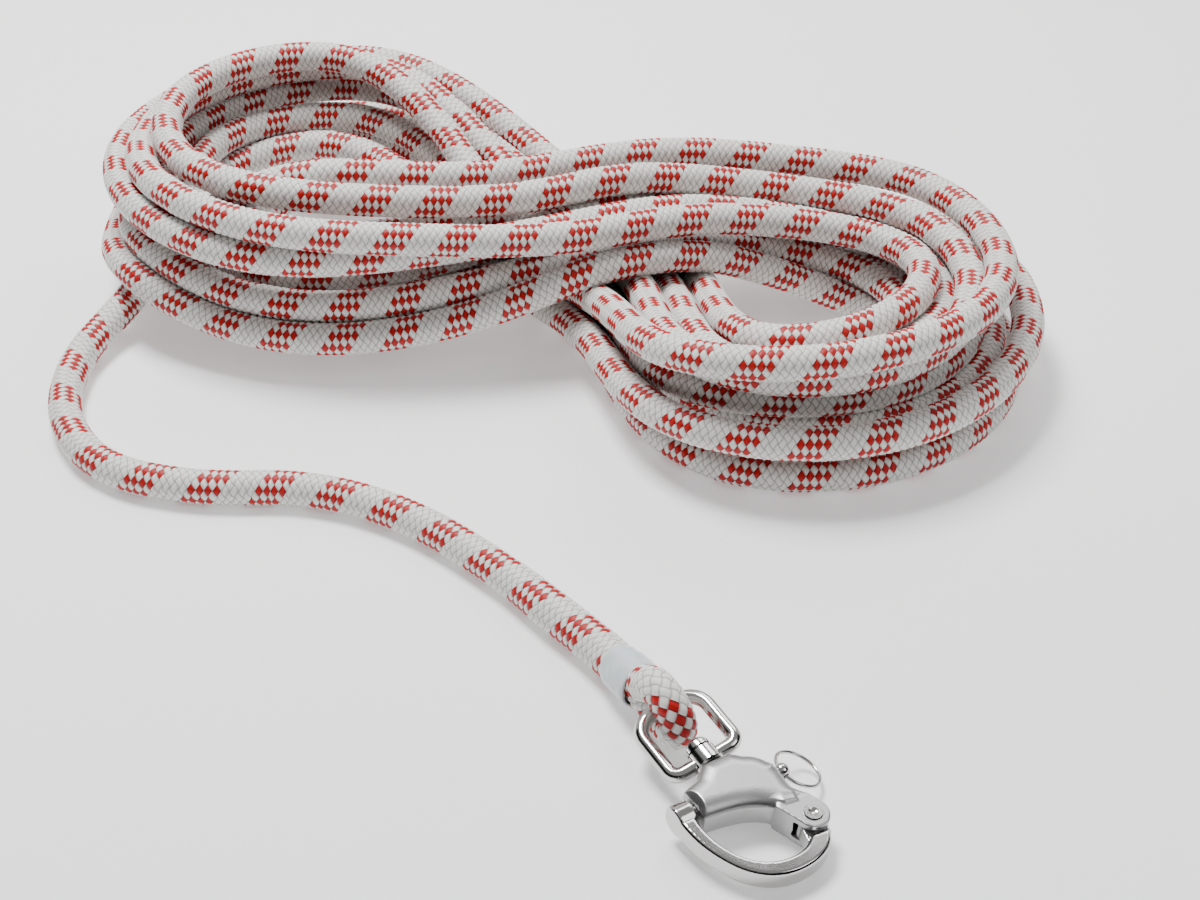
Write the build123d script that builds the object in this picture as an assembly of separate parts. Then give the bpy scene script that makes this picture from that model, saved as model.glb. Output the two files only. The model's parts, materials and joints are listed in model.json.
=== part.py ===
"""Safety rope: a figure-eight hank of braided rope, its loose tail, and the swivel snap shackle
spliced into the tail's eye. Millimetres, +Z up, standing on Z = 0."""
import math
import os

from build123d import *

# ---- driving dimensions ----
rope_r = 6.0  # 12 mm rope
splice_r = 6.5  # the rope is thicker where its own end is buried in it
eye_rope_r = 5.2  # the rope is drawn tight round the bow
sleeve_wall = 0.6
sleeve_len = 15.0
throat_x = 15.0  # the eye's legs meet this far behind the bow
splice_end_x = 14.0
splice_run_x = 36.0

bar_r = 2.2  # bail's round bar
bail_half_width = 10.6  # centre line of a leg
bail_len = 21.3  # crossbar to bow, centre lines
crossbar_x = 0.8
foot_bend = 3.0
bow_bend = 6.6
boss_r = 4.3
boss_back, boss_front = -2.2, 3.4  # the boss's ends along the shackle's axis
stud_r = 2.2
stud_head_r = 3.9
stud_head_top = -5.4
stud_end = 9.0  # how deep the stud goes into the casting

plunger_x = 14.0  # plunger's axis, from the stud's crossbar
nose_r = 2.05
rod_r = 1.65
collar_r = 3.0
collar_y = -7.4  # the spring pushes on the collar here
collar_len = 1.4
bush_y = 9.3  # and on the bush here
bush_end_y = 13.4
nose_short = 0.3  # the nose stops short of the socket
ring_gap = 3.0  # half the ring's gap, in degrees
ball_r = 2.3
ring_eye_r = 0.95  # hole through the ball
spring_wire_r = 0.4
chamber_r = 3.2
spring_turns = 9
tip_face_y = 14.4  # inner face of the gate's tip
ring_hole_y = 16.0
ring_droop = 25.0
ring_r = 6.9
ring_wire_r = 0.55

hinge_x, hinge_y = 32.3, 12.3  # gate's rivet
ear_r = 4.7
ear_half = 5.0  # half the height over both ears
slot_half = 2.8  # half the gap between the ears
rivet_r = 1.85
rivet_head = 0.4
rivet_head_r = 2.7
dimple_r = 2.8
dimple_deep = 0.4
body_half = 5.7  # half the casting's thickness
gate_half = 3.4  # half the gate arm's thickness
tip_r = 4.5
tip_end_y = -20.0
socket_end_y = -18.2

run_fit = 0.08  # radial clearance of a turning or sliding fit

# Where the shackle lies: the middle of the bail's boss, its heading, its dip towards the gate,
# and how far the bail is turned about the stud against the casting.
shackle_at = (46.9, -174.2, 10.2)
heading = -57.8
dip = 7.6
bail_roll = 12.0
eye_rise = 17.2  # angle between the shackle's long axis and the rope's at the bow

# Route of the loose tail, from the hank to the splice, chosen by eye.
tail_route = [
    (-143.0, 93.0, 21.0),
    (-163.0, 70.0, 11.0),
    (-176.5, 38.0, 6.1),
    (-172.5, -1.0, 6.1),
    (-152.0, -32.0, 6.1),
    (-117.0, -43.5, 6.1),
    (-79.0, -41.5, 6.1),
    (-43.0, -58.0, 6.1),
    (-11.0, -89.0, 6.4),
    (3.6, -107.5, 6.9),
]
splice_from = 8  # the splice starts half-way along the run after this point

# Hank: heights over the floor of its lobes and of their crossing.
left_height = 73.0
right_height = 57.0
crossing_height = 64.0
top_bevel = 9.0

# Where the stored end starts under the hank, its heading, its length and its closed sleeve.
end_from = (22.0, 137.0, 6.7)
end_heading = 18.0
end_len = 44.0
end_sleeve_len = 22.0
end_wall = 1.2


# ---- frames ----
def direction(heading_deg, dip_deg):
    """Unit vector with that heading in the XY plane, dipping below it."""
    h, d = math.radians(heading_deg), math.radians(dip_deg)
    return Vector(math.cos(h) * math.cos(d), math.sin(h) * math.cos(d), -math.sin(d))


def mixed(first, second, angle_deg):
    """The first direction turned towards the second by an angle."""
    a = math.radians(angle_deg)
    return first * math.cos(a) + second * math.sin(a)


along = direction(heading, dip)
across = direction(heading + 90, 0)
upright = along.cross(across)
shackle_plane = Plane(origin=shackle_at, x_dir=along, z_dir=upright)

bail_across = mixed(across, upright, bail_roll)
bail_upright = along.cross(bail_across)
bail_plane = Plane(origin=shackle_at, x_dir=along, z_dir=bail_upright)

bow_centre = Vector(*shackle_at) - along * (bail_len - crossbar_x)
rope_axis = mixed(along, bail_upright, eye_rise)
eye_plane = Plane(origin=bow_centre, x_dir=rope_axis, z_dir=rope_axis.cross(bail_across))


def place(shape, plane):
    """Move a shape from its own axes into the part's frame."""
    return plane.location * shape


def x_rod(radius, x0, x1, y=0.0, z=0.0):
    """Round bar along X."""
    return Pos((x0 + x1) / 2, y, z) * Rot(0, 90, 0) * Cylinder(radius, x1 - x0)


def y_rod(radius, y0, y1, x=0.0, z=0.0):
    """Round bar along Y."""
    return Pos(x, (y0 + y1) / 2, z) * Rot(90, 0, 0) * Cylinder(radius, y1 - y0)


def z_rod(radius, z0, z1, x=0.0, y=0.0):
    """Round bar along Z."""
    return Pos(x, y, (z0 + z1) / 2) * Cylinder(radius, z1 - z0)


def plate(curves, half):
    """Solid between -half and +half in Z on a closed outline."""
    return extrude(make_face(curves), half, both=True)


# ---- rope ----
def corner_radii(points):
    """One radius for each corner: 0.45 of the shorter run over the tangent of half the turn."""
    radii = []
    for a, b, c in zip(points, points[1:], points[2:]):
        before, after = Vector(*b) - Vector(*a), Vector(*c) - Vector(*b)
        turn = math.radians(before.get_angle(after))
        radii.append(0.45 * min(before.length, after.length) / math.tan(turn / 2))
    return radii


def tube(points, radii, radius):
    """Round tube along straight runs joined by tangent arcs."""
    path = FilletPolyline(*points, radius=radii)
    section = Plane(origin=path @ 0, z_dir=path % 0) * Circle(radius)
    return sweep(section, path=path), path.length


def lobe(x, y, turn, size, hole, height):
    """Upright oval block with a bevelled top edge, and a hole through it if one is given."""
    outline = Ellipse(*size)
    if hole:
        outline -= Ellipse(*hole)
    block = extrude(outline, height)
    return Pos(x, y) * Rot(0, 0, turn) * chamfer(block.edges().group_by(Axis.Z)[-1], top_bevel)


def make_hank():
    """Outer shape of the figure-eight: two lobes with their holes, and the crossing on top."""
    left = lobe(-86, 122, -14, (95, 93), (28, 20), left_height)
    right = lobe(91, 40, -28, (90, 91), (30, 27), right_height)
    crossing = lobe(10, 90, -35, (58, 52), None, crossing_height)
    return left + right + crossing


def make_eye():
    """The rope's turn round the bow, with both legs drawn together at the throat."""
    turn_r = bar_r + run_fit + eye_rope_r
    lean = math.degrees(math.asin(turn_r / throat_x))
    leg_len = math.sqrt(throat_x**2 - turn_r**2)
    bend = revolve(Pos(turn_r, 0, 0) * Circle(eye_rope_r), Axis.Y, 180 + 2 * lean)
    eye = Rot(0, -90 - lean, 0) * bend
    for side in (1, -1):
        leg = Pos(0, 0, leg_len / 2) * Cylinder(eye_rope_r, leg_len)
        eye += Pos(-throat_x, 0, 0) * Rot(0, 90 - side * lean, 0) * leg
    in_front = Pos(50 - splice_end_x, 0, 0) * Box(100, 40, 60)
    return place(eye & in_front, eye_plane)


def make_sleeve():
    """Clear sleeve shrunk over the throat, widening towards the eye."""
    start, end = -throat_x - sleeve_len + 3, -throat_x + 3
    outer = Cone(splice_r + sleeve_wall, eye_rope_r + 2.6, end - start)
    outer = Pos((start + end) / 2, 0, 0) * Rot(0, 90, 0) * outer
    return place(outer, eye_plane)


def make_rope():
    """The rope's stretches, its eye, its sleeves and its stored end."""
    route = [Vector(*p) for p in tail_route]
    route += [bow_centre - rope_axis * splice_run_x, bow_centre - rope_axis * splice_end_x]
    radii = corner_radii(route)
    print("corner radii:", [round(r, 1) for r in radii])
    split = (route[splice_from] + route[splice_from + 1]) / 2
    hank = make_hank()
    tail, tail_len = tube(route[: splice_from + 1] + [split], radii[:splice_from], rope_r)
    splice, splice_len = tube([split] + route[splice_from + 1 :], radii[splice_from:], splice_r)
    for name, solid, length, radius in (
        ("tail", tail, tail_len, rope_r),
        ("splice", splice, splice_len, splice_r),
    ):
        expected = math.pi * radius**2 * length
        print(f"{name}: length {length:.1f}, volume {solid.volume:.0f}, section x length {expected:.0f}")
    eye = make_eye()
    sleeve = make_sleeve() - splice - eye
    end_axis = Plane(origin=end_from, x_dir=direction(end_heading, 0), z_dir=(0, 0, 1))
    end = place(x_rod(rope_r, 0, end_len - end_wall), end_axis) - hank
    end_sleeve = place(x_rod(rope_r + sleeve_wall, end_len - end_sleeve_len, end_len), end_axis) - end
    return {
        "rope_hank": hank,
        "rope_tail": tail - hank,
        "rope_splice": splice,
        "rope_eye": eye,
        "throat_sleeve": sleeve,
        "rope_end": end,
        "rope_end_sleeve": end_sleeve,
    }


# ---- shackle, each piece in the shackle's own axes: X towards the gate, Y towards the ring ----
def make_bail():
    """Round bar bent to a D, with the stud's boss in the middle of the crossbar."""
    w, x0, x1 = bail_half_width, crossbar_x, crossbar_x - bail_len
    outline = make_face(Polyline((x0, -w), (x0, w), (x1, w), (x1, -w), close=True))
    outline = fillet(outline.vertices().group_by(Axis.X)[-1], foot_bend)
    outline = fillet(outline.vertices().group_by(Axis.X)[0], bow_bend)
    loop = outline.face().outer_wire()
    bar = sweep(Plane(origin=loop @ 0, z_dir=loop % 0) * Circle(bar_r), path=loop)
    boss = chamfer(x_rod(boss_r, boss_back, boss_front).edges(), 0.5)
    return bar + boss - x_rod(stud_r + run_fit, -5, 6)


def make_stud():
    """Swivel stud: domed head inside the bail, shank through the boss into the casting."""
    head = x_rod(stud_head_r, stud_head_top, boss_back - 0.3)
    head = fillet(head.edges().group_by(Axis.X)[0], 1.6)
    return head + x_rod(stud_r, boss_back - 0.4, stud_end)


def make_body():
    """Casting: neck, plunger housing, arched inner side and the fork for the gate."""
    outline = [
        Polyline((9.0, -13.6), (7.4, -8.4), (3.8, -4.2), (3.8, 4.2), (6.6, 7.6)),
        Spline((6.6, 7.6), (10.0, 11.6), (14.0, 13.2), (18.5, 13.3), (24.0, 13.2)),
        Polyline((24.0, 13.2), (28.5, 12.3), (27.6, 6.4)),
        Spline((27.6, 6.4), (24.2, 3.4), (21.6, -1.5), (20.0, -8.0), (19.2, -13.6)),
        Line((19.2, -13.6), (9.0, -13.6)),
    ]
    casting = plate(outline, body_half)
    casting = chamfer(casting.faces().filter_by(Axis.Z).edges(), 2.0)
    top = (hinge_x - 1.4, hinge_y + 4.5)
    bottom = (hinge_x + 1.2, hinge_y - 4.55)
    ears = Polyline((20.0, 12.6), top, bottom, (25.5, 4.6), close=True)
    casting += plate([ears], ear_half)
    casting += z_rod(ear_r, -ear_half, ear_half, hinge_x, hinge_y)
    casting -= z_rod(ear_r + 0.7, -slot_half, slot_half, hinge_x, hinge_y)
    casting -= x_rod(stud_r, 0, stud_end)
    casting -= z_rod(rivet_r, -9, 9, hinge_x, hinge_y)
    casting -= y_rod(nose_r + run_fit, -20, 0, plunger_x)
    casting -= y_rod(chamber_r, collar_y - collar_len - 0.5, bush_y, plunger_x)
    casting -= y_rod(chamber_r + 0.2, bush_y, 20, plunger_x)
    return casting


def make_rivet():
    """Gate's rivet with a dimpled head at each end."""
    head = z_rod(rivet_head_r, 0, ear_half + rivet_head)
    head = chamfer(head.edges().group_by(Axis.Z)[-1], 0.25)
    head -= z_rod(4, 0, ear_half)
    head -= Pos(0, 0, ear_half + rivet_head + dimple_r - dimple_deep) * Sphere(dimple_r)
    rivet = z_rod(rivet_r, -ear_half, ear_half) + head + mirror(head, Plane.XY)
    return Pos(hinge_x, hinge_y) * rivet


def make_gate():
    """Curved arm from the knuckle between the ears to the tip that faces the plunger."""
    outer = Spline(
        (37.4, 14.2), (41.0, 12.2), (43.6, 7.8), (44.7, 1.5), (43.4, -6.0),
        (39.0, -12.3), (31.6, -16.9), (24.0, -19.3), (17.0, -19.9),
    )
    inner = Spline(
        (17.0, -15.3), (22.5, -15.4), (28.4, -14.1), (34.2, -11.0), (38.2, -6.2),
        (39.8, -0.8), (39.5, 4.0), (36.9, 8.6),
    )
    arm = plate([outer, Line(outer @ 1, inner @ 0), inner, Line(inner @ 1, outer @ 0)], gate_half)
    arm = chamfer(arm.faces().filter_by(Axis.Z).edges(), 0.7)
    arm -= z_rod(ear_r + 0.45, -9, 9, hinge_x, hinge_y)
    neck = Polyline(
        (hinge_x, hinge_y + 3.6), (38.6, 14.2), (39.2, 6.4), (hinge_x - 0.5, hinge_y - 4.0), close=True
    )
    gate = arm + plate([neck], slot_half - 0.12)
    gate += z_rod(ear_r - 0.3, -slot_half + 0.12, slot_half - 0.12, hinge_x, hinge_y)
    tip = y_rod(tip_r, tip_end_y, -tip_face_y, plunger_x + 0.3)
    tip = chamfer(tip.edges(), 0.5)
    gate += tip
    gate -= z_rod(rivet_r + run_fit, -9, 9, hinge_x, hinge_y)
    gate -= y_rod(nose_r + 0.15, socket_end_y, 0, plunger_x)
    return gate


def make_plunger():
    """Sprung pin: nose, spring collar, rod and the ball that the ring passes through."""
    nose_end = nose_short - tip_face_y
    ball_start = ring_hole_y - math.sqrt(ball_r**2 - rod_r**2)
    stem = Polyline(
        (0, ring_hole_y + ball_r), (0, nose_end), (nose_r, nose_end), (nose_r, collar_y - collar_len),
        (collar_r, collar_y - collar_len), (collar_r, collar_y), (rod_r, collar_y), (rod_r, ball_start),
    )
    ball = ThreePointArc((rod_r, ball_start), (ball_r, ring_hole_y), (0, ring_hole_y + ball_r))
    pin = revolve(make_face([stem, ball]), Axis.Y)
    return Pos(plunger_x, 0, 0) * pin - x_rod(ring_eye_r, 0, 30, ring_hole_y)


def make_spring():
    """Coil spring round the plunger's rod, between its collar and the bush."""
    coil_r = rod_r + spring_wire_r + 0.25
    length = bush_y - collar_y - 2 * spring_wire_r - 0.04
    coil = Helix(pitch=length / spring_turns, height=length, radius=coil_r)
    wire = sweep(Plane(origin=coil @ 0, z_dir=coil % 0) * Circle(spring_wire_r), path=coil)
    return Pos(plunger_x, collar_y + spring_wire_r + 0.02, 0) * Rot(-90, 0, 0) * wire


def make_bush():
    """Bush pressed into the casting, which holds the spring in."""
    bush = y_rod(chamber_r + 0.2, bush_y, bush_end_y, plunger_x)
    return bush - y_rod(rod_r + run_fit, 0, 20, plunger_x)


def make_ring():
    """Open wire ring through the plunger's ball, drooping from it."""
    path = CenterArc((0, 0), ring_r, ring_gap - 150, 360 - 2 * ring_gap)
    wire = sweep(Plane(origin=path @ 0, z_dir=path % 0) * Circle(ring_wire_r), path=path)
    droop = Pos(plunger_x, ring_hole_y, 0) * Rot(-ring_droop, 0, 0)
    return droop * Pos(0, ring_r - 0.17, 0) * wire


def make_shackle():
    """Every metal piece of the swivel snap shackle, in the part's frame."""
    pieces = {
        "shackle_body": make_body(),
        "swivel_stud": make_stud(),
        "gate_rivet": make_rivet(),
        "gate": make_gate(),
        "plunger": make_plunger(),
        "plunger_spring": make_spring(),
        "spring_bush": make_bush(),
        "pull_ring": make_ring(),
    }
    placed = {name: place(piece, shackle_plane) for name, piece in pieces.items()}
    placed["bail"] = place(make_bail(), bail_plane)
    return placed


os.makedirs("parts", exist_ok=True)
nodes = {**make_rope(), **make_shackle()}
for name, shape in nodes.items():
    export_step(shape, f"parts/{name}.step")
    box = shape.bounding_box()
    low = " ".join(f"{c:8.1f}" for c in box.min)
    high = " ".join(f"{c:8.1f}" for c in box.max)
    print(f"{name:16s} {low}   {high}")
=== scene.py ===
"""Safety rope: a braided rope laid in a figure-eight hank, its loose tail, and the swivel snap
shackle spliced into the tail's eye. Metres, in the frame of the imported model."""
import json
import math

import bmesh
import bpy
import numpy as np
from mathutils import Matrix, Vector, kdtree


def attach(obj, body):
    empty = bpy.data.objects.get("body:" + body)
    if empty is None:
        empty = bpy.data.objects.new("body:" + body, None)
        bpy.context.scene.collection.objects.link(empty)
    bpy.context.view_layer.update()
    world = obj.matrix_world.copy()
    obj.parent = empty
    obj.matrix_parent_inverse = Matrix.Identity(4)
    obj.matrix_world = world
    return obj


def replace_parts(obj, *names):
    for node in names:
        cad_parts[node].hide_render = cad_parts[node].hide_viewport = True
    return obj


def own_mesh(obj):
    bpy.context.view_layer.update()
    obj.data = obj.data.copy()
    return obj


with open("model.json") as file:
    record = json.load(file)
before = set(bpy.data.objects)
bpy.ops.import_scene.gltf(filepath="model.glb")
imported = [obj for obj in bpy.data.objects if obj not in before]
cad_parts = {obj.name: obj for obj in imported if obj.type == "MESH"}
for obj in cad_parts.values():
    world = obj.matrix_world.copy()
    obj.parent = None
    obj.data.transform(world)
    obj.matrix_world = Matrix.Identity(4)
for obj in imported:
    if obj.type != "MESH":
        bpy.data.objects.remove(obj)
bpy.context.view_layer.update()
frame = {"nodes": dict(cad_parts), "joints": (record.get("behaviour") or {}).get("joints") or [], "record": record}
nodes = frame["nodes"]

# ---- driving dimensions ----
rope_d = 0.012
rope_r = rope_d / 2
splice_r = 0.0065  # the rope is thicker where its own end is buried in it
splice_len, splice_taper = 0.070, 0.020
eye_rope_r = 0.0052  # and drawn tight round the bow
bar_r = 0.0022  # bail's round bar
eye_rise = math.radians(17.2)  # angle between the shackle's long axis and the rope's at the bow
throat_back = 0.015  # the eye's legs meet this far behind the bow
sleeve_from, sleeve_to = 0.0120, 0.0268  # distances behind the bow
sleeve_eye_r, sleeve_splice_r = 0.0076, 0.0070
sleeve_wall = 0.0006
body_half = 0.0057  # half the casting's thickness in its middle
wall_half = 0.0027  # and at its side walls
hump_reach = 0.0052  # how far in from the walls the hump is full
ears_from = 0.0265  # where the flat ears start, from the stud's crossbar
plunger_forward = 0.0140  # from the stud's crossbar to the plunger's axis

# Braid: 8 flat strands each way round the rope, each over one and under one of the others.
strands = 8
red_strands = 4  # side by side, all one way; the rest are white
lead = 0.022  # length in which a strand goes once round
strand_points = 3  # points across a strand: a groove and two shoulders
columns = strand_points * strands
rows_per_lead = 2 * columns
row_step = lead / rows_per_lead
relief = 0.00042  # height of a strand's crown over the grooves
piece_rows = 4080  # rows of the braid in one piece of the cover

# Route of the loose tail, from the splice to the hank, as given.
tail_route = [
    (0.0036, -0.1075, 0.0069),
    (-0.0110, -0.0890, 0.0064),
    (-0.0430, -0.0580, 0.0061),
    (-0.0790, -0.0415, 0.0061),
    (-0.1170, -0.0435, 0.0061),
    (-0.1520, -0.0320, 0.0061),
    (-0.1725, -0.0010, 0.0061),
    (-0.1765, 0.0380, 0.0061),
    (-0.1630, 0.0700, 0.0110),
]
# Where the tail climbs the hank and lies over its other turns.
climb = [
    (-0.1460, 0.0820, 0.0300),
    (-0.1180, 0.0740, 0.0560),
    (-0.0800, 0.0720, 0.0680),
    (-0.0400, 0.0800, 0.0660),
]

# Hank: a coil of turns, twisted once into a figure eight. Each lobe's loops run from an inner
# to an outer oval.
turns = 12
left_lobe = dict(centre=(-0.086, 0.120), tilt=-14.0, inner=(0.048, 0.044), outer=(0.093, 0.091))
right_lobe = dict(centre=(0.091, 0.041), tilt=-28.0, inner=(0.042, 0.046), outer=(0.082, 0.093))
crossing = (0.020, 0.083)
# Headings at the crossing of the bundle on top and of the one under it.
over_heading, under_heading = 28.0, 128.0
bundle_width = 0.060
left_pile, right_pile, bundle_pile = 0.067, 0.045, 0.027  # highest less lowest centre line
# Place of each turn between the left lobe's inner oval, 0, and its outer one, 1.
turn_place = [0.22, 0.50, 0.95, 0.72, 0.34, 0.05, 0.45, 0.85, 1.00, 0.62, 0.20, 0.40]
# The stored end slips under the hank and comes out behind the crossing.
stored_end = [
    (-0.062, 0.107, 0.006),
    (-0.028, 0.119, 0.006),
    (0.008, 0.1325, 0.0067),
    (0.0624, 0.1501, 0.0067),
]

lane_step = 0.026  # distance between a turn's points over the crossing
lane_lift = 1.04  # how far the upper bundle lies over the lower one, in bundle heights
loop_shift = 0.006  # how far a loop may lie off its lobe's centre
left_sizes, right_sizes = (0.96, 1.02), (0.95, 1.06)  # a loop's size against its oval

# Settling: lengths in metres, rates for one step.
node_spacing = 0.006
thin_d = 0.003  # thickness that the rope starts from, so that no turns cross
swelling = 140  # steps in which it grows to its full thickness
sinking, quick_sinking = 300, 40
light, heavy = 0.00005, 0.0001  # fall in one step, while swelling and after
glide = 0.75  # share of its motion that a point keeps
fastest = 0.0012
grip = (0.03, 0.03, 0.015)  # share of the way back to the laid place
tightest = 2.2 * rope_d  # radius that the rope resists bending beyond
stiffness = 0.12
held_first, held_last = 22, 6  # points that stay where they are laid

rng = np.random.RandomState(5)


# ---- helpers ----
def joint(name):
    """Point and axis of a joint."""
    found = next(j for j in frame["joints"] if j["name"] == name)
    return Vector(found.get("pos_m", (0, 0, 0))), Vector(found["axis"])


def new_object(name, data, body):
    """Object in the scene that rides on a body."""
    obj = bpy.data.objects.new(name, data)
    bpy.context.scene.collection.objects.link(obj)
    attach(obj, body)
    return obj


def mesh_from(name, points, faces, smooth=True):
    """Mesh from arrays of points and of faces with equal corner counts."""
    mesh = bpy.data.meshes.new(name)
    faces = np.asarray(faces, dtype=np.int32)
    sides = faces.shape[1]
    mesh.vertices.add(len(points))
    mesh.vertices.foreach_set("co", np.asarray(points, dtype=np.float32).ravel())
    mesh.loops.add(faces.size)
    mesh.loops.foreach_set("vertex_index", faces.ravel())
    mesh.polygons.add(len(faces))
    mesh.polygons.foreach_set("loop_start", np.arange(0, faces.size, sides, dtype=np.int32))
    mesh.polygons.foreach_set("use_smooth", np.full(len(faces), smooth))
    mesh.update(calc_edges=True)
    mesh.validate()
    return mesh


def turned_out(mesh):
    """Turn a closed mesh's faces outwards."""
    work = bmesh.new()
    work.from_mesh(mesh)
    bmesh.ops.remove_doubles(work, verts=work.verts, dist=0.000001)
    bmesh.ops.recalc_face_normals(work, faces=work.faces)
    work.to_mesh(mesh)
    work.free()


def merged_copy(node):
    """Copy of a CAD node's mesh with its loose triangles joined."""
    mesh = nodes[node].data.copy()
    work = bmesh.new()
    work.from_mesh(mesh)
    bmesh.ops.remove_doubles(work, verts=work.verts, dist=0.000002)
    work.to_mesh(mesh)
    work.free()
    return mesh


def baked(obj):
    """Plain mesh of an object as its modifiers leave it."""
    depsgraph = bpy.context.evaluated_depsgraph_get()
    return bpy.data.meshes.new_from_object(obj.evaluated_get(depsgraph))


def coordinates(mesh):
    """Array of a mesh's points."""
    points = np.empty(len(mesh.vertices) * 3, dtype=np.float32)
    mesh.vertices.foreach_get("co", points)
    return points.reshape(-1, 3).astype(float)


def lengths_along(points):
    """Distance of each point along a line from its start."""
    return np.concatenate([[0], np.cumsum(np.linalg.norm(np.diff(points, axis=0), axis=1))])


def at_distances(points, distances):
    """Points at given distances along a line."""
    along_line = lengths_along(points)
    return np.stack([np.interp(distances, along_line, points[:, k]) for k in range(3)], axis=1)


# ---- frame of the shackle, from its joints ----
bow, bow_axis = joint("bow_pivot")
stud_point, along = joint("stud_swivel")
_, upright = joint("gate_pivot")
_, across = joint("plunger_slide")
bail_across = -bow_axis
bail_upright = along.cross(bail_across)
rope_axis = along * math.cos(eye_rise) + bail_upright * math.sin(eye_rise)
eye_normal = rope_axis.cross(bail_across)


# ---- camera, floor and light ----
def make_camera():
    """Camera above and in front, looking down at the rope."""
    data = bpy.data.cameras.new("camera")
    data.sensor_width = 36
    data.lens = 55.92
    camera = bpy.data.objects.new("camera", data)
    camera.location = (0.018, -0.546, 0.374)
    camera.rotation_euler = (math.radians(55), 0, 0)
    bpy.context.scene.collection.objects.link(camera)
    bpy.context.scene.camera = camera


def make_stage():
    """Pale floor that rises into a backdrop, soft lamps and a pale surround."""
    profile = [(-3.0, 0.0), (1.6, 0.0)]
    for a in np.linspace(0.2, math.pi / 2, 8):
        profile.append((1.6 + 0.6 * math.sin(a), 0.6 - 0.6 * math.cos(a)))
    profile += [(2.2, 3.0)]
    points = [(x, y, z) for x in (-4.0, 4.0) for y, z in profile]
    count = len(profile)
    faces = [(k, k + count, k + count + 1, k + 1) for k in range(count - 1)]
    floor = bpy.data.objects.new("floor", mesh_from("floor", points, faces))
    bpy.context.scene.collection.objects.link(floor)
    floor.data.materials.append(floor_material())
    for name, place, size, watts, target in (
        ("key", (-0.30, 0.35, 1.20), 0.45, 26.0, (0.0, 0.05, 0.0)),
        ("fill", (0.9, -0.5, 0.9), 0.6, 3.0, (0.0, 0.0, 0.0)),
        ("back", (0.5, 1.1, 1.3), 0.7, 7.0, (0.0, 0.05, 0.0)),
    ):
        data = bpy.data.lights.new(name, "AREA")
        data.size = size
        data.energy = watts
        lamp = bpy.data.objects.new(name, data)
        lamp.location = place
        lamp.rotation_euler = (Vector(target) - Vector(place)).to_track_quat("-Z", "Y").to_euler()
        bpy.context.scene.collection.objects.link(lamp)
    bpy.context.scene.world = studio_world()


# ---- node helpers ----
def calc(tree, operation, *values):
    """Math node on sockets or numbers."""
    node = tree.nodes.new("ShaderNodeMath")
    node.operation = operation
    for socket, value in zip(node.inputs, values):
        if isinstance(value, (int, float)):
            socket.default_value = value
        else:
            tree.links.new(value, socket)
    return node.outputs[0]


def shader(name, **values):
    """New material: its tree, its Principled shader and the values set on that shader."""
    material = bpy.data.materials.new(name)
    material.use_nodes = True
    tree = material.node_tree
    surface = tree.nodes["Principled BSDF"]
    for socket, value in values.items():
        surface.inputs[socket.replace("_", " ")].default_value = value
    return material, tree, surface


def noise(tree, vector, scale, detail=4.0, roughness=0.55):
    """Noise texture's value on a vector."""
    node = tree.nodes.new("ShaderNodeTexNoise")
    node.inputs["Scale"].default_value = scale
    node.inputs["Detail"].default_value = detail
    node.inputs["Roughness"].default_value = roughness
    tree.links.new(vector, node.inputs["Vector"])
    return node.outputs["Fac"]


def mapped(tree, value, low, high, to_low, to_high):
    """A value's range mapped to another."""
    node = tree.nodes.new("ShaderNodeMapRange")
    for socket, number in zip(list(node.inputs)[1:5], (low, high, to_low, to_high)):
        socket.default_value = number
    tree.links.new(value, node.inputs["Value"])
    return node.outputs["Result"]


def object_coords(tree):
    """The piece's own coordinates."""
    return tree.nodes.new("ShaderNodeTexCoord").outputs["Object"]


def mixed_colour(tree, share, first, second):
    """Colour between two colours, which are sockets or tuples."""
    node = tree.nodes.new("ShaderNodeMix")
    node.data_type = "RGBA"
    tree.links.new(share, node.inputs["Factor"])
    for key, value in (("A", first), ("B", second)):
        socket = next(s for s in node.inputs if s.name == key and s.type == "RGBA")
        if isinstance(value, tuple):
            socket.default_value = (*value, 1)
        else:
            tree.links.new(value, socket)
    return next(s for s in node.outputs if s.type == "RGBA")


def bumped(tree, surface, height, strength, distance):
    """Bump from a height on a shader."""
    node = tree.nodes.new("ShaderNodeBump")
    node.inputs["Strength"].default_value = strength
    node.inputs["Distance"].default_value = distance
    tree.links.new(height, node.inputs["Height"])
    tree.links.new(node.outputs["Normal"], surface.inputs["Normal"])


def studio_world():
    """Pale surround with a dark band part of the way up, which gives polished metal its contrast."""
    world = bpy.data.worlds.new("studio")
    world.use_nodes = True
    tree = world.node_tree
    direction = tree.nodes.new("ShaderNodeTexCoord").outputs["Generated"]
    parts = tree.nodes.new("ShaderNodeSeparateXYZ")
    tree.links.new(direction, parts.inputs[0])
    ramp = tree.nodes.new("ShaderNodeValToRGB")
    stops = ((0.0, 0.9), (0.10, 0.7), (0.18, 0.01), (0.56, 0.02), (0.70, 1.0))
    for _ in range(len(stops) - 2):
        ramp.color_ramp.elements.new(0.5)
    for element, (place, grey) in zip(ramp.color_ramp.elements, stops):
        element.position = place
        element.color = (grey, grey, grey, 1)
    tree.links.new(parts.outputs[2], ramp.inputs[0])
    tree.links.new(ramp.outputs[0], tree.nodes["Background"].inputs["Color"])
    tree.nodes["Background"].inputs["Strength"].default_value = 0.35
    return world


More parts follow.
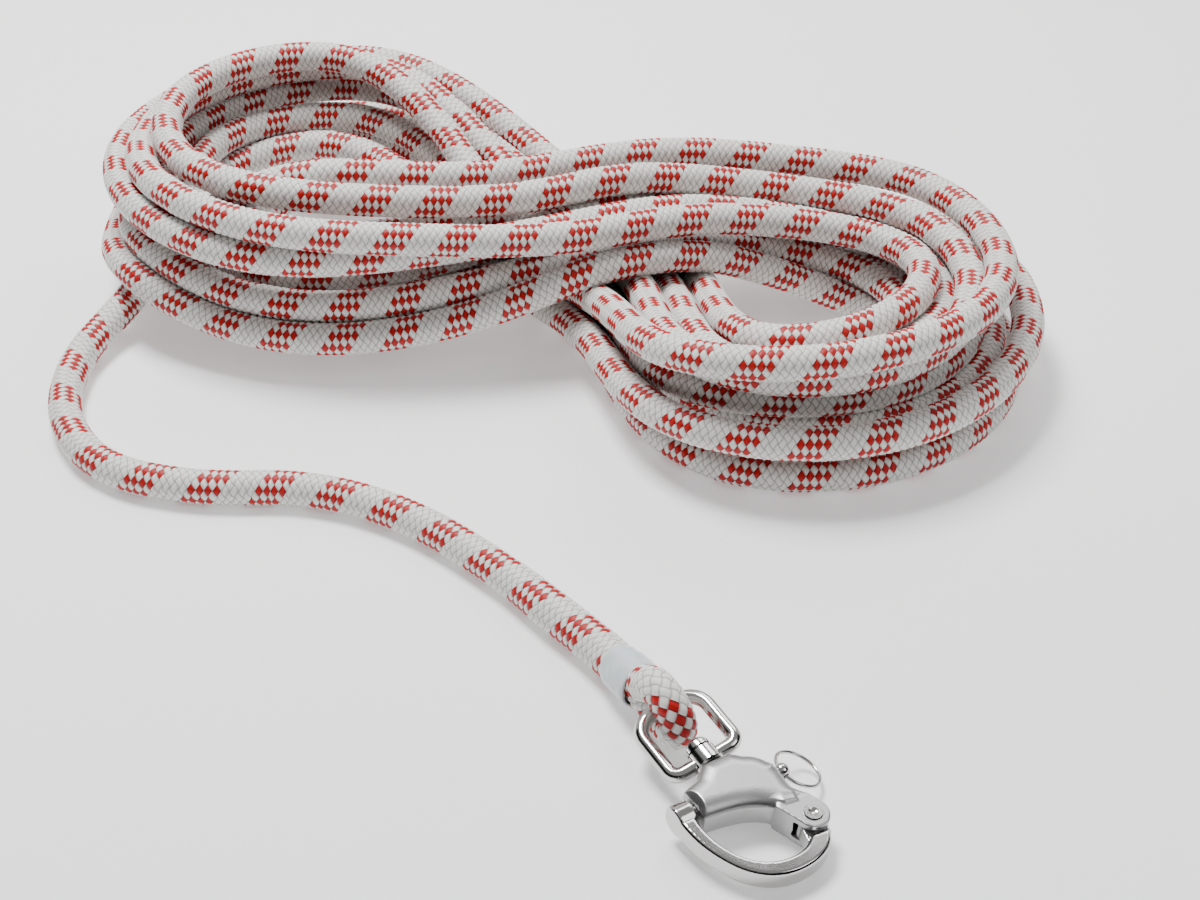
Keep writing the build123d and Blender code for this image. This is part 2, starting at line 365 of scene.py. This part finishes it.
# ---- materials ----
def floor_material():
    """Plain pale paper."""
    material, tree, surface = shader("paper", Roughness=0.75)
    surface.inputs["Base Color"].default_value = (0.93, 0.93, 0.93, 1)
    surface.inputs["Emission Color"].default_value = (1.0, 1.0, 1.0, 1)
    surface.inputs["Emission Strength"].default_value = 0.35
    grain = noise(tree, object_coords(tree), 60)
    tree.links.new(mapped(tree, grain, 0, 1, 0.7, 0.8), surface.inputs["Roughness"])
    return material


def braid_material():
    """Glossy filament yarns: red and white strands one way, white strands the other way.
    The map named plait holds each point's strand number one way in U and the other way in V."""
    material, tree, surface = shader("braid", Specular_IOR_Level=0.35)
    plait = tree.nodes.new("ShaderNodeUVMap")
    plait.uv_map = "plait"
    parts = tree.nodes.new("ShaderNodeSeparateXYZ")
    tree.links.new(plait.outputs["UV"], parts.inputs[0])
    first, second = parts.outputs[0], parts.outputs[1]
    first_strand = calc(tree, "ROUND", first)
    second_strand = calc(tree, "ROUND", second)
    together = calc(tree, "FLOORED_MODULO", calc(tree, "ADD", first_strand, second_strand), 2)
    first_on_top = calc(tree, "LESS_THAN", together, 0.5)
    turned = calc(tree, "FLOORED_MODULO", first_strand, strands)
    in_red_group = calc(tree, "LESS_THAN", turned, red_strands - 0.5)
    red = calc(tree, "MULTIPLY", first_on_top, in_red_group)

    off_first = calc(tree, "SUBTRACT", first, first_strand)
    off_second = calc(tree, "SUBTRACT", second, second_strand)

    def of_top(when_first, when_second):
        node = tree.nodes.new("ShaderNodeMix")
        tree.links.new(first_on_top, node.inputs[0])
        tree.links.new(when_second, node.inputs[2])
        tree.links.new(when_first, node.inputs[3])
        return node.outputs[0]

    sideways = of_top(off_first, off_second)
    lengthways = of_top(second, first)
    strand = of_top(first_strand, second_strand)
    yarn = tree.nodes.new("ShaderNodeCombineXYZ")
    tree.links.new(calc(tree, "MULTIPLY", sideways, 9.0), yarn.inputs[0])
    tree.links.new(calc(tree, "MULTIPLY", lengthways, 0.7), yarn.inputs[1])
    tree.links.new(calc(tree, "MULTIPLY", strand, 3.7), yarn.inputs[2])
    filaments = noise(tree, yarn.outputs[0], 1.6, detail=3.0, roughness=0.6)
    crown = calc(tree, "SUBTRACT", 1.0, calc(tree, "POWER", calc(tree, "ABSOLUTE", sideways), 2.0))
    groove = mapped(tree, calc(tree, "ABSOLUTE", sideways), 0.26, 0.52, 0.0, 1.0)

    soil = noise(tree, object_coords(tree), 14.0, detail=5.0)
    sheen = mapped(tree, filaments, 0.3, 0.7, 0, 1)
    white = mixed_colour(tree, sheen, (0.74, 0.73, 0.70), (0.88, 0.87, 0.85))
    white = mixed_colour(tree, mapped(tree, soil, 0.52, 0.75, 0, 0.35), white, (0.72, 0.69, 0.63))
    dyed = mixed_colour(tree, sheen, (0.36, 0.0, 0.0), (0.54, 0.0, 0.001))
    yarn_colour = mixed_colour(tree, red, white, dyed)
    # painted shade: towards the grooves at a strand's edges the colour darkens to a warm grey on white yarn and a
    # near-black red on red yarn, standing in for the shade between strands
    groove_painted_shade = mixed_colour(tree, red, (0.26, 0.24, 0.22), (0.07, 0.0, 0.001))
    colour = mixed_colour(tree, groove, yarn_colour, groove_painted_shade)
    tree.links.new(colour, surface.inputs["Base Color"])
    tree.links.new(mapped(tree, filaments, 0.25, 0.75, 0.40, 0.58), surface.inputs["Roughness"])
    height = calc(tree, "ADD", calc(tree, "MULTIPLY", filaments, 0.5), crown)
    bumped(tree, surface, height, 0.55, 0.00025)
    return material


def steel_material(name, colour, rough, rough_spread, grain, dent):
    """Stainless steel with a fine surface grain, faint wear and slight unevenness."""
    material, tree, surface = shader(name, Metallic=1.0)
    coords = object_coords(tree)
    fine = noise(tree, coords, grain, detail=6.0, roughness=0.65)
    broad = noise(tree, coords, 90.0, detail=3.0)
    tint = mixed_colour(tree, broad, colour, tuple(c * 0.9 for c in colour))
    tree.links.new(tint, surface.inputs["Base Color"])
    wear = calc(tree, "ADD", calc(tree, "MULTIPLY", fine, 0.5), calc(tree, "MULTIPLY", broad, 0.5))
    gloss = mapped(tree, wear, 0.3, 0.7, rough - rough_spread, rough + rough_spread)
    tree.links.new(gloss, surface.inputs["Roughness"])
    bumped(tree, surface, fine, dent, 0.0002)
    return material


def sleeve_material():
    """Milky heat-shrunk tube."""
    material, tree, surface = shader("clear sleeve", Roughness=0.28, IOR=1.45)
    surface.inputs["Subsurface Weight"].default_value = 0.35
    surface.inputs["Subsurface Scale"].default_value = 0.004
    surface.inputs["Transmission Weight"].default_value = 0.25
    coords = object_coords(tree)
    cloud = noise(tree, coords, 260.0, detail=4.0)
    tint = mixed_colour(tree, mapped(tree, cloud, 0.3, 0.7, 0, 1), (0.78, 0.79, 0.80), (0.90, 0.91, 0.92))
    tree.links.new(tint, surface.inputs["Base Color"])
    bumped(tree, surface, cloud, 0.25, 0.0002)
    return material


# ---- hank ----
def on_oval(lobe, share, angle, shift=(0, 0), size=1.0):
    """Point of a lobe's loop that lies a share of the way from its inner to its outer oval."""
    half_x = (lobe["inner"][0] + (lobe["outer"][0] - lobe["inner"][0]) * share) * size
    half_y = (lobe["inner"][1] + (lobe["outer"][1] - lobe["inner"][1]) * share) * size
    a, t = math.radians(angle), math.radians(lobe["tilt"])
    x, y = half_x * math.cos(a), half_y * math.sin(a)
    return (
        lobe["centre"][0] + shift[0] + x * math.cos(t) - y * math.sin(t),
        lobe["centre"][1] + shift[1] + x * math.sin(t) + y * math.cos(t),
    )


def across_bundle(heading, offset, height):
    """Three points of a turn that passes the crossing with a heading, off to one side."""
    h = math.radians(heading)
    step = np.array([math.cos(h), math.sin(h)]) * lane_step
    side = np.array([math.sin(h), -math.cos(h)])
    if heading == under_heading:
        side = -side
    middle = np.array(crossing) + side * offset
    return [(*(middle + step * k), height) for k in (-1, 0, 1)]


def laid_turns():
    """Points of the hank's turns as they are laid, from the top turn down."""
    points = []
    for turn in range(turns):
        up = (turns - 1 - turn) / (turns - 1)
        place = turn_place[turn]
        following = turn_place[min(turn + 1, turns - 1)]
        left_shift = rng.uniform(-loop_shift, loop_shift, 2)
        right_shift = rng.uniform(-loop_shift, loop_shift, 2)
        left_size, right_size = rng.uniform(*left_sizes), rng.uniform(*right_sizes)
        z = rope_r + bundle_pile * (up + lane_lift)
        points += across_bundle(over_heading, (place - 0.5) * bundle_width, z)
        for angle in range(88, -119, -22):
            spot = on_oval(right_lobe, 1 - place, angle, right_shift, right_size)
            points.append((*spot, rope_r + right_pile * up))
        points += across_bundle(under_heading, (0.5 - place) * bundle_width, rope_r + bundle_pile * up)
        if turn == turns - 1:
            for k, angle in enumerate(range(85, 250, 22)):
                share = place + (0.05 - place) * k / 7
                points.append((*on_oval(left_lobe, share, angle), rope_r))
            continue
        for k, angle in enumerate(range(85, 306, 22)):
            share = place + (following - place) * k / 10
            z = rope_r + left_pile * (up - k / 10 / (turns - 1))
            points.append((*on_oval(left_lobe, share, angle, left_shift, left_size), z))
    return points + stored_end


def smooth_line(points, parts=8):
    """Line of parabolic arcs with the points as its control points."""
    line = [points[0]]
    share = np.arange(parts)[:, None] / parts
    for a, b, c in zip(points, points[1:], points[2:]):
        line += list(0.5 * ((1 - share) ** 2 * a + (1 + 2 * share - 2 * share**2) * b + share**2 * c))
    return np.array(line + [points[-1]])


def settled(start, held, steps):
    """Laid turns after they have sunk under their weight and pushed each other apart. Each point
    keeps near its place on the plan, as in a hank that was twisted tight before it was put down."""
    count = len(start)
    rest = np.linalg.norm(np.diff(start, axis=0), axis=1)
    place, before = start.copy(), start.copy()
    reach = 4  # points to each side over which a bend is measured
    sagitta = (reach * node_spacing) ** 2 / (2 * tightest)
    for step in range(steps):
        thick = thin_d + (rope_d - thin_d) * min(1.0, step / swelling)
        weight = light if step < swelling else heavy
        moved = (place - before) * glide
        speed = np.linalg.norm(moved, axis=1, keepdims=True)
        moved *= np.minimum(1, fastest / np.maximum(speed, 1e-9))
        before = place.copy()
        place = place + moved
        place[:, 2] -= weight
        place += np.array(grip) * (start - place)
        place[held] = start[held]
        if step % 6 == 0:
            single = place.astype(np.float32)
            gap = ((single[:, None] - single[None]) ** 2).sum(-1)
            one, other = np.where(np.triu(gap < (thick + node_spacing) ** 2, k=4))
            apart = (other - one) * node_spacing > thick * 1.4
            one, other = one[apart], other[apart]
        for _ in range(5):
            between = place[one] - place[other]
            gap = np.linalg.norm(between, axis=1)
            touch = gap < thick
            deep = (thick - gap[touch]) / 2 / np.maximum(gap[touch], 1e-9)
            push = between[touch] * deep[:, None]
            total, times = np.zeros_like(place), np.zeros(count)
            np.add.at(total, one[touch], push)
            np.add.at(total, other[touch], -push)
            np.add.at(times, one[touch], 1)
            np.add.at(times, other[touch], 1)
            place += 1.3 * total / np.maximum(times, 1)[:, None]
            for span, share in ((1, 0.25), (2, 0.10)):
                n, f = 2 * span, 4 * span
                near = place[span : -3 * span] + place[3 * span : -span]
                even = (4 * near - place[:-f] - place[f:]) / 6
                bent = even - place[n:-n]
                place[n:-n] += share * bent
            middle = (place[: -2 * reach] + place[2 * reach :]) / 2
            sag = middle - place[reach:-reach]
            size = np.linalg.norm(sag, axis=1, keepdims=True)
            place[reach:-reach] += stiffness * sag * np.maximum(0, 1 - sagitta / np.maximum(size, 1e-9))
            for first in (0, 1):
                k = np.arange(first, count - 1, 2)
                link = place[k + 1] - place[k]
                long = np.linalg.norm(link, axis=1)
                pull = ((long - rest[k]) / np.maximum(long, 1e-9) / 2)[:, None] * link
                place[k] += pull
                place[k + 1] -= pull
            place[:, 2] = np.maximum(place[:, 2], rope_r)
            place[held] = start[held]
        if step < swelling:
            long = np.linalg.norm(np.diff(place, axis=0), axis=1)
            rest += 0.15 * (np.clip(long, 0.65 * node_spacing, 1.35 * node_spacing) - rest)
    return place


def rope_points():
    """Control points of the whole rope, from the throat of its eye to its stored end."""
    throat = [tuple(bow - rope_axis * d) for d in (0.012, 0.014, 0.036)]
    laid = smooth_line(np.array(tail_route[-2:] + climb + laid_turns()))
    laid = at_distances(laid, np.arange(0, lengths_along(laid)[-1], node_spacing))
    held = np.zeros(len(laid), bool)
    held[:held_first] = True
    held[-held_last:] = True
    hank = settled(laid, held, sinking)
    return throat + tail_route + [tuple(p) for p in hank[7:-1:3]] + [tuple(hank[-1])]


def make_core():
    """The rope's own line, a NURBS curve with a thin round core."""
    points = rope_points()
    data = bpy.data.curves.new("rope", "CURVE")
    data.dimensions = "3D"
    data.resolution_u = 6
    spline = data.splines.new("NURBS")
    spline.points.add(len(points) - 1)
    for point, co in zip(spline.points, points):
        point.co = (*co, 1)
        point.radius = 0.45 * rope_d
    spline.order_u = 3
    spline.use_endpoint_u = True
    core = new_object("rope_core", data, "rope")
    line = coordinates(bpy.data.meshes.new_from_object(core))
    data.bevel_depth = 1.0
    data.bevel_resolution = 2
    data.use_fill_caps = True
    return core, line


# ---- braided cover ----
def braid_tree():
    """Geometry Nodes: sweep a ring of points along a line, turned so that each column follows a
    strand, and lift each point by the height of the strand that is on top there."""
    tree = bpy.data.node_groups.new("braided cover", "GeometryNodeTree")
    face = tree.interface
    face.new_socket("Line", in_out="INPUT", socket_type="NodeSocketGeometry")
    for label, kind in (
        ("Radius", "NodeSocketFloat"),
        ("Columns", "NodeSocketInt"),
        ("Strand points", "NodeSocketInt"),
        ("Row angle", "NodeSocketFloat"),
        ("Relief", "NodeSocketFloat"),
        ("Material", "NodeSocketMaterial"),
    ):
        face.new_socket(label, in_out="INPUT", socket_type=kind)
    face.new_socket("Cover", in_out="OUTPUT", socket_type="NodeSocketGeometry")
    given = tree.nodes.new("NodeGroupInput").outputs
    link = tree.links.new

    def add(kind, **links):
        node = tree.nodes.new(kind)
        for socket, value in links.items():
            link(value, node.inputs[socket.replace("_", " ")])
        return node

    index = tree.nodes.new("GeometryNodeInputIndex").outputs[0]
    girth = tree.nodes.new("GeometryNodeInputNamedAttribute")
    girth.inputs["Name"].default_value = "girth"
    curve = add("GeometryNodeMeshToCurve", Mesh=given["Line"])
    wide = add("GeometryNodeSetCurveRadius", Curve=curve.outputs[0], Radius=girth.outputs[0])
    turn = calc(tree, "MULTIPLY", index, given["Row angle"])
    tilted = add("GeometryNodeSetCurveTilt", Curve=wide.outputs[0], Tilt=turn)
    ring = add("GeometryNodeCurvePrimitiveCircle", Resolution=given["Columns"], Radius=given["Radius"])
    swept = add("GeometryNodeCurveToMesh", Curve=tilted.outputs[0], Profile_Curve=ring.outputs[0])
    swept.inputs["Fill Caps"].default_value = False
    if "Scale" in swept.inputs:
        link(girth.outputs[0], swept.inputs["Scale"])
    split = add("GeometryNodeTriangulate", Mesh=swept.outputs[0])

    column = calc(tree, "FLOORED_MODULO", index, given["Columns"])
    row = calc(tree, "FLOOR", calc(tree, "DIVIDE", calc(tree, "ADD", index, 0.5), given["Columns"]))
    first = calc(tree, "ADD", calc(tree, "DIVIDE", column, given["Strand points"]), 0.5)
    second = calc(tree, "SUBTRACT", first, calc(tree, "DIVIDE", row, given["Strand points"]))

    def strand_height(own, other, shift):
        strand = calc(tree, "ROUND", own)
        phase = calc(tree, "MULTIPLY", calc(tree, "ADD", calc(tree, "ADD", strand, other), shift), math.pi)
        off = calc(tree, "MULTIPLY", calc(tree, "SUBTRACT", own, strand), 2.0)
        crown = calc(tree, "SUBTRACT", 1.0, calc(tree, "MULTIPLY", off, off))
        return calc(tree, "MULTIPLY", calc(tree, "ADD", crown, calc(tree, "COSINE", phase)), 0.7)

    height = calc(tree, "MAXIMUM", strand_height(first, second, 0), strand_height(second, first, 1))
    height = calc(tree, "MULTIPLY", height, given["Relief"])
    lift = tree.nodes.new("ShaderNodeVectorMath")
    lift.operation = "SCALE"
    link(tree.nodes.new("GeometryNodeInputNormal").outputs[0], lift.inputs[0])
    link(height, lift.inputs["Scale"])
    lifted = add("GeometryNodeSetPosition", Geometry=split.outputs[0], Offset=lift.outputs[0])
    real = add("GeometryNodeRealizeInstances", Geometry=lifted.outputs[0])
    dressed = add("GeometryNodeSetMaterial", Geometry=real.outputs[0], Material=given["Material"])
    link(dressed.outputs[0], tree.nodes.new("NodeGroupOutput").inputs[0])
    return tree


def set_inputs(modifier, tree, values):
    """Set a modifier's inputs by their sockets' identifiers."""
    for item in tree.interface.items_tree:
        if item.in_out == "INPUT" and item.name in values:
            modifier[item.identifier] = values[item.name]


def cover_arrays(line, girth, tree):
    """Points and faces of the braided cover along evenly spaced points."""
    chain = bpy.data.meshes.new("line")
    edges = [(k, k + 1) for k in range(len(line) - 1)]
    chain.from_pydata([tuple(p) for p in line], edges, [])
    attribute = chain.attributes.new("girth", "FLOAT", "POINT")
    attribute.data.foreach_set("value", np.asarray(girth, dtype=np.float32))
    holder = bpy.data.objects.new("line", chain)
    bpy.context.scene.collection.objects.link(holder)
    modifier = holder.modifiers.new("cover", "NODES")
    modifier.node_group = tree
    values = {"Radius": rope_r - 1.2 * relief, "Columns": columns, "Relief": relief}
    values["Strand points"] = strand_points
    values["Material"] = looks["braid"]
    values["Row angle"] = -2 * math.pi / rows_per_lead
    set_inputs(modifier, tree, values)
    mesh = baked(holder)
    points = coordinates(mesh)
    faces = np.empty(len(mesh.loops), dtype=np.int32)
    mesh.loops.foreach_get("vertex_index", faces)
    bpy.data.objects.remove(holder)
    return points, faces.reshape(-1, 3)


def cover_piece(name, points, faces, first_row, last_row):
    """One piece of the cover, with its plait map and a map packed in strips for baking."""
    rows = faces // columns
    mine = (rows.min(axis=1) >= first_row) & (rows.max(axis=1) <= last_row)
    faces = faces[mine]
    lowest = first_row * columns
    mesh = mesh_from(name, points[lowest : (last_row + 1) * columns], faces - lowest)
    column = (faces % columns).astype(float)
    row = (faces // columns).astype(float)
    wraps = (column.max(axis=1) - column.min(axis=1)) > columns / 2
    column[wraps] += np.where(column[wraps] < columns / 2, columns, 0)
    first = column / strand_points + 0.5
    plait = mesh.uv_layers.new(name="plait")
    plait.data.foreach_set("uv", np.stack([first, first - row / strand_points], axis=-1).ravel())
    own_row = row - first_row
    total = last_row - first_row
    strips = max(1, round(math.sqrt(total * row_step / (2 * math.pi * rope_r))))
    strip_rows = math.ceil(total / strips)
    strip = np.floor((own_row.min(axis=1, keepdims=True) + 0.01) / strip_rows)
    u = (strip + 0.02 + 0.96 * column / (columns + 1)) / strips
    v = 0.01 + 0.98 * (own_row - strip * strip_rows) / strip_rows
    packed = mesh.uv_layers.new(name="OFBake")
    packed.data.foreach_set("uv", np.stack([u, v], axis=-1).ravel())
    mesh.materials.append(looks["braid"])
    piece = new_object(name, mesh, "rope")
    return piece


def make_covers(line, tree):
    """The rope's cover in pieces, thicker at the splice."""
    total = lengths_along(line)[-1]
    count = int(total / row_step)
    distance = np.arange(count + 1) * row_step
    even = at_distances(line, distance)
    splice = np.clip((splice_len - distance) / splice_taper, 0, 1)
    girth = 1 + (splice_r / rope_r - 1) * splice
    points, faces = cover_arrays(even, girth, tree)
    pieces = []
    start = 0
    while start < count:
        end = min(start + piece_rows, count)
        pieces.append(cover_piece(f"rope_cover_{len(pieces) + 1}", points, faces, start, end))
        start = end
    return pieces, total


def make_eye(tree):
    """Braided eye round the bow, drawn tight, with its two legs side by side in the throat."""
    turn_r = bar_r + 0.0001 + eye_rope_r
    lean = math.asin(turn_r / throat_back)
    steps = 40
    line = [-rope_axis * throat_back * 1.05 + eye_normal * -0.0004]
    for k in range(steps + 1):
        a = math.pi / 2 + lean - (math.pi + 2 * lean) * k / steps
        line.append(rope_axis * turn_r * math.cos(a) + eye_normal * turn_r * math.sin(a))
    line.append(-rope_axis * throat_back * 1.05 + eye_normal * 0.0004)
    line = np.array([bow + p for p in line])
    distance = np.arange(int(lengths_along(line)[-1] / row_step) + 1) * row_step
    even = at_distances(line, distance)
    girth = np.full(len(even), (eye_rope_r + 0.0001) / rope_r)
    points, faces = cover_arrays(even, girth, tree)
    return cover_piece("rope_eye_cover", points, faces, 0, len(even) - 1)


# ---- sleeve and castings ----
def make_sleeve():
    """Sleeve shrunk over the eye's throat: uneven, drawn in at both ends, open at both."""
    round_points, stations = 72, 30
    points = []
    for wall, order in ((0.0, 1), (sleeve_wall, -1)):
        for k in range(stations + 1)[::order]:
            share = k / stations
            back = sleeve_from + (sleeve_to - sleeve_from) * share
            lip = 0.0005 * (math.exp(-share / 0.05) + math.exp(-(1 - share) / 0.05))
            radius = sleeve_eye_r + (sleeve_splice_r - sleeve_eye_r) * share - lip - wall
            for j in range(round_points):
                a = 2 * math.pi * j / round_points
                dent = 0.00012 * math.sin(3 * a + 9 * share) + 0.00008 * math.sin(7 * a - 21 * share + 1)
                out = (eye_normal * math.cos(a) + bail_across * math.sin(a)) * (radius + dent - 0.0001)
                points.append(bow - rope_axis * back + out)
    rings = 2 * (stations + 1)
    faces = []
    for k in range(rings):
        for j in range(round_points):
            a, b = k * round_points, (k + 1) % rings * round_points
            n = (j + 1) % round_points
            faces.append((a + j, b + j, b + n, a + n))
    mesh = mesh_from("throat_shrink", [tuple(p) for p in points], faces)
    turned_out(mesh)
    mesh.materials.append(looks["clear_sleeve"])
    sleeve = new_object("throat_shrink", mesh, "rope")
    return sleeve


def humped(mesh):
    """Dome the casting's housing: its height falls away from the middle towards its side walls,
    and the ears of the fork stay flat."""
    points = coordinates(mesh)
    normals = np.empty(len(points) * 3, dtype=np.float32)
    mesh.vertex_normals.foreach_get("vector", normals)
    normals = normals.reshape(-1, 3)
    axes = np.array([along, across, upright])
    local = (points - np.array(stud_point)) @ axes.T
    facing = normals @ axes.T
    off_plunger = np.hypot(local[:, 0] - plunger_forward, local[:, 2])
    off_stud = np.hypot(local[:, 1], local[:, 2])
    wall = (np.abs(facing[:, 2]) < 0.3) & (facing[:, 1] > -0.8) & (off_plunger > 0.0038) & (off_stud > 0.0026)
    wall &= np.abs(local[:, 2]) < 0.0030
    walls = local[wall]
    tree = kdtree.KDTree(len(walls))
    for k, (x, y, _) in enumerate(walls):
        tree.insert((x, y, 0), k)
    tree.balance()
    for k in np.nonzero(local[:, 0] < ears_from)[0]:
        x, y, z = local[k]
        inward = min(tree.find((x, y, 0))[2], hump_reach) / hump_reach
        top = wall_half + (body_half - wall_half) * math.sqrt(1 - (1 - inward) ** 2)
        share = min(1.0, (ears_from - x) / 0.004)
        if abs(z) > top:
            local[k, 2] += share * (math.copysign(top, z) - z)
    points = np.array(stud_point) + local @ axes
    mesh.vertices.foreach_set("co", points.astype(np.float32).ravel())
    mesh.update()


def cast_piece(name, node, body, look, grid, rounding, shaped=None):
    """Copy of a CAD piece with the rounded edges of a casting."""
    holder = bpy.data.objects.new(name, merged_copy(node))
    bpy.context.scene.collection.objects.link(holder)
    remesh = holder.modifiers.new("even skin", "REMESH")
    remesh.mode = "VOXEL"
    remesh.voxel_size = grid
    if shaped:
        holder.data = baked(holder)
        holder.modifiers.clear()
        shaped(holder.data)
    rounded = holder.modifiers.new("rounded edges", "SMOOTH")
    rounded.factor = 0.5
    rounded.iterations = rounding
    skin = baked(holder)
    bpy.data.objects.remove(holder)
    skin.polygons.foreach_set("use_smooth", np.ones(len(skin.polygons), bool))
    skin.materials.clear()
    skin.materials.append(looks[look])
    piece = new_object(name, skin, body)
    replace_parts(piece, node)
    return piece


def make_spring():
    """Plunger's spring, a copy of the CAD spring that rides on the casting."""
    mesh = merged_copy("plunger_spring")
    mesh.materials.clear()
    mesh.materials.append(looks["spring_steel"])
    spring = new_object("spring_coil", mesh, "casting")
    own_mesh(spring)
    return spring


# ---- materials in use ----
looks = {
    "braid": braid_material(),
    "clear_sleeve": sleeve_material(),
    "polished_steel": steel_material("polished steel", (0.62, 0.61, 0.60), 0.13, 0.05, 2500.0, 0.05),
    "satin_steel": steel_material("satin steel", (0.44, 0.44, 0.44), 0.34, 0.07, 1800.0, 0.25),
    "spring_steel": steel_material("spring steel", (0.45, 0.45, 0.46), 0.28, 0.06, 2000.0, 0.10),
}

make_camera()
make_stage()
core, rope_line = make_core()
core.data.materials.append(looks["braid"])
cover_tree = braid_tree()
covers, rope_length = make_covers(rope_line, cover_tree)
eye_cover = make_eye(cover_tree)
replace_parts(core, "rope_hank", "rope_tail", "rope_splice", "rope_end")
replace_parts(eye_cover, "rope_eye")
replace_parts(make_sleeve(), "throat_sleeve")
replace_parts(make_spring(), "plunger_spring")
cast_piece("casting_skin", "shackle_body", "casting", "satin_steel", 0.00024, 8, humped)
cast_piece("gate_skin", "gate", "gate", "polished_steel", 0.00022, 8)

slots = {entry["node"]: entry["material_slot"] for entry in frame["record"]["subparts"]}
for name, obj in nodes.items():
    obj.data.materials.clear()
    obj.data.materials.append(looks[slots[name]])
